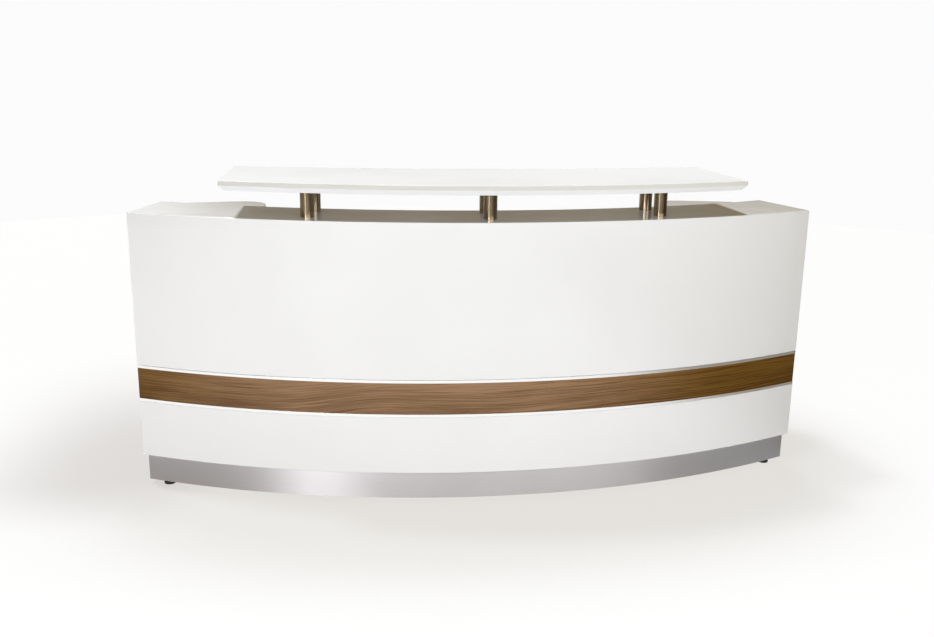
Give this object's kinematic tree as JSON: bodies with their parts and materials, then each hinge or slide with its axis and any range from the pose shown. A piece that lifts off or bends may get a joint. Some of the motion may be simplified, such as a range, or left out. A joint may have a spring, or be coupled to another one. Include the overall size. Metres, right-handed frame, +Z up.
{
  "type": "reception desk",
  "caption": "Bowed white reception desk with a walnut band, a steel plinth, a raised counter top on steel posts, a worktop, open end towers and a drawer pedestal.",
  "frame": {"origin": "on the floor, below the middle of the desk's box", "axes": "+X along the front towards the visitor's right, +Y from the visitor's side to the staff's side, +Z up"},
  "size_m": [2.4, 0.8775, 1.106],
  "materials": {
    "white_lacquer": "gloss white lacquer on board",
    "white_satin": "satin white lacquer on board",
    "white_board": "satin white faced board",
    "walnut": "satin walnut veneer, grain along the band",
    "plywood": "raw plywood",
    "black_board": "black board",
    "aluminium_trim": "satin anodised",
    "brushed_steel": "brushed stainless steel",
    "grey_plastic": "fine moulded texture",
    "black_plastic": "moulded black plastic"
  },
  "bodies": {
    "carcass": {"upper_fascia_panel": "white_lacquer", "lower_fascia_panel": "white_lacquer", "walnut_band": "walnut", "upper_band_trim": "aluminium_trim", "lower_band_trim": "aluminium_trim", "front_core": "white_board", "lower_former": "plywood", "inner_lining": "white_board", "top_shelf": "white_lacquer", "plinth_beam": "black_board", "kick_plate": "brushed_steel", "counter_top": "white_satin", "worktop": "white_board", "pedestal_side": "white_board", "pedestal_floor": "white_board", "left_side_plinth": "black_board", "left_gable": "white_lacquer", "left_partition": "white_board", "left_tower_floor": "white_board", "left_tower_shelf": "white_board", "left_wing_top": "white_lacquer", "left_grommet_liner": "grey_plastic", "right_side_plinth": "black_board", "right_gable": "white_lacquer", "right_partition": "white_board", "right_tower_floor": "white_board", "right_tower_shelf": "white_board", "right_wing_top": "white_lacquer", "right_grommet_liner": "grey_plastic", "front_left_post": "brushed_steel", "rear_left_post": "brushed_steel", "front_centre_post": "brushed_steel", "rear_centre_post": "brushed_steel", "front_right_post": "brushed_steel", "rear_right_post": "brushed_steel", "bottom_left_runner": "grey_plastic", "bottom_right_runner": "grey_plastic", "middle_left_runner": "grey_plastic", "middle_right_runner": "grey_plastic", "top_left_runner": "grey_plastic", "top_right_runner": "grey_plastic"},
    "top_drawer": {"top_drawer_front": "white_lacquer", "top_drawer_box": "white_board", "top_drawer_handle": "brushed_steel"},
    "middle_drawer": {"middle_drawer_front": "white_lacquer", "middle_drawer_box": "white_board", "middle_drawer_handle": "brushed_steel"},
    "bottom_drawer": {"bottom_drawer_front": "white_lacquer", "bottom_drawer_box": "white_board", "bottom_drawer_handle": "brushed_steel"},
    "left_cable_cap": {"left_grommet_cap": "grey_plastic"},
    "right_cable_cap": {"right_grommet_cap": "grey_plastic"},
    "front_left_leveller": {"front_left_foot": "black_plastic"},
    "front_centre_leveller": {"front_centre_foot": "black_plastic"},
    "front_right_leveller": {"front_right_foot": "black_plastic"},
    "left_gable_leveller": {"left_gable_foot": "black_plastic"},
    "right_gable_leveller": {"right_gable_foot": "black_plastic"},
    "left_partition_leveller": {"left_partition_foot": "black_plastic"},
    "right_partition_leveller": {"right_partition_foot": "black_plastic"},
    "pedestal_leveller": {"pedestal_foot": "black_plastic"}
  },
  "joints": [
    {"name": "top_drawer_slide", "type": "slide", "parent": "carcass", "child": "top_drawer", "axis": [0, 1, 0], "range_m": [0, 0.38]},
    {"name": "middle_drawer_slide", "type": "slide", "parent": "carcass", "child": "middle_drawer", "axis": [0, 1, 0], "range_m": [0, 0.38]},
    {"name": "bottom_drawer_slide", "type": "slide", "parent": "carcass", "child": "bottom_drawer", "axis": [0, 1, 0], "range_m": [0, 0.38]},
    {"name": "left_cap_turn", "type": "hinge", "parent": "carcass", "child": "left_cable_cap", "pos_m": [-0.609, -0.11227, 0.74], "axis": [0, 0, 1], "continuous": true},
    {"name": "right_cap_turn", "type": "hinge", "parent": "carcass", "child": "right_cable_cap", "pos_m": [0.191, -0.1745, 0.74], "axis": [0, 0, 1], "continuous": true},
    {"name": "front_left_foot_height", "type": "slide", "parent": "carcass", "child": "front_left_leveller", "axis": [0, 0, 1], "range_m": [-0.015, 0.006]},
    {"name": "front_centre_foot_height", "type": "slide", "parent": "carcass", "child": "front_centre_leveller", "axis": [0, 0, 1], "range_m": [-0.015, 0.006]},
    {"name": "front_right_foot_height", "type": "slide", "parent": "carcass", "child": "front_right_leveller", "axis": [0, 0, 1], "range_m": [-0.015, 0.006]},
    {"name": "left_gable_foot_height", "type": "slide", "parent": "carcass", "child": "left_gable_leveller", "axis": [0, 0, 1], "range_m": [-0.015, 0.006]},
    {"name": "right_gable_foot_height", "type": "slide", "parent": "carcass", "child": "right_gable_leveller", "axis": [0, 0, 1], "range_m": [-0.015, 0.006]},
    {"name": "left_partition_foot_height", "type": "slide", "parent": "carcass", "child": "left_partition_leveller", "axis": [0, 0, 1], "range_m": [-0.015, 0.006]},
    {"name": "right_partition_foot_height", "type": "slide", "parent": "carcass", "child": "right_partition_leveller", "axis": [0, 0, 1], "range_m": [-0.015, 0.006]},
    {"name": "pedestal_foot_height", "type": "slide", "parent": "carcass", "child": "pedestal_leveller", "axis": [0, 0, 1], "range_m": [-0.015, 0.006]}
  ]
}
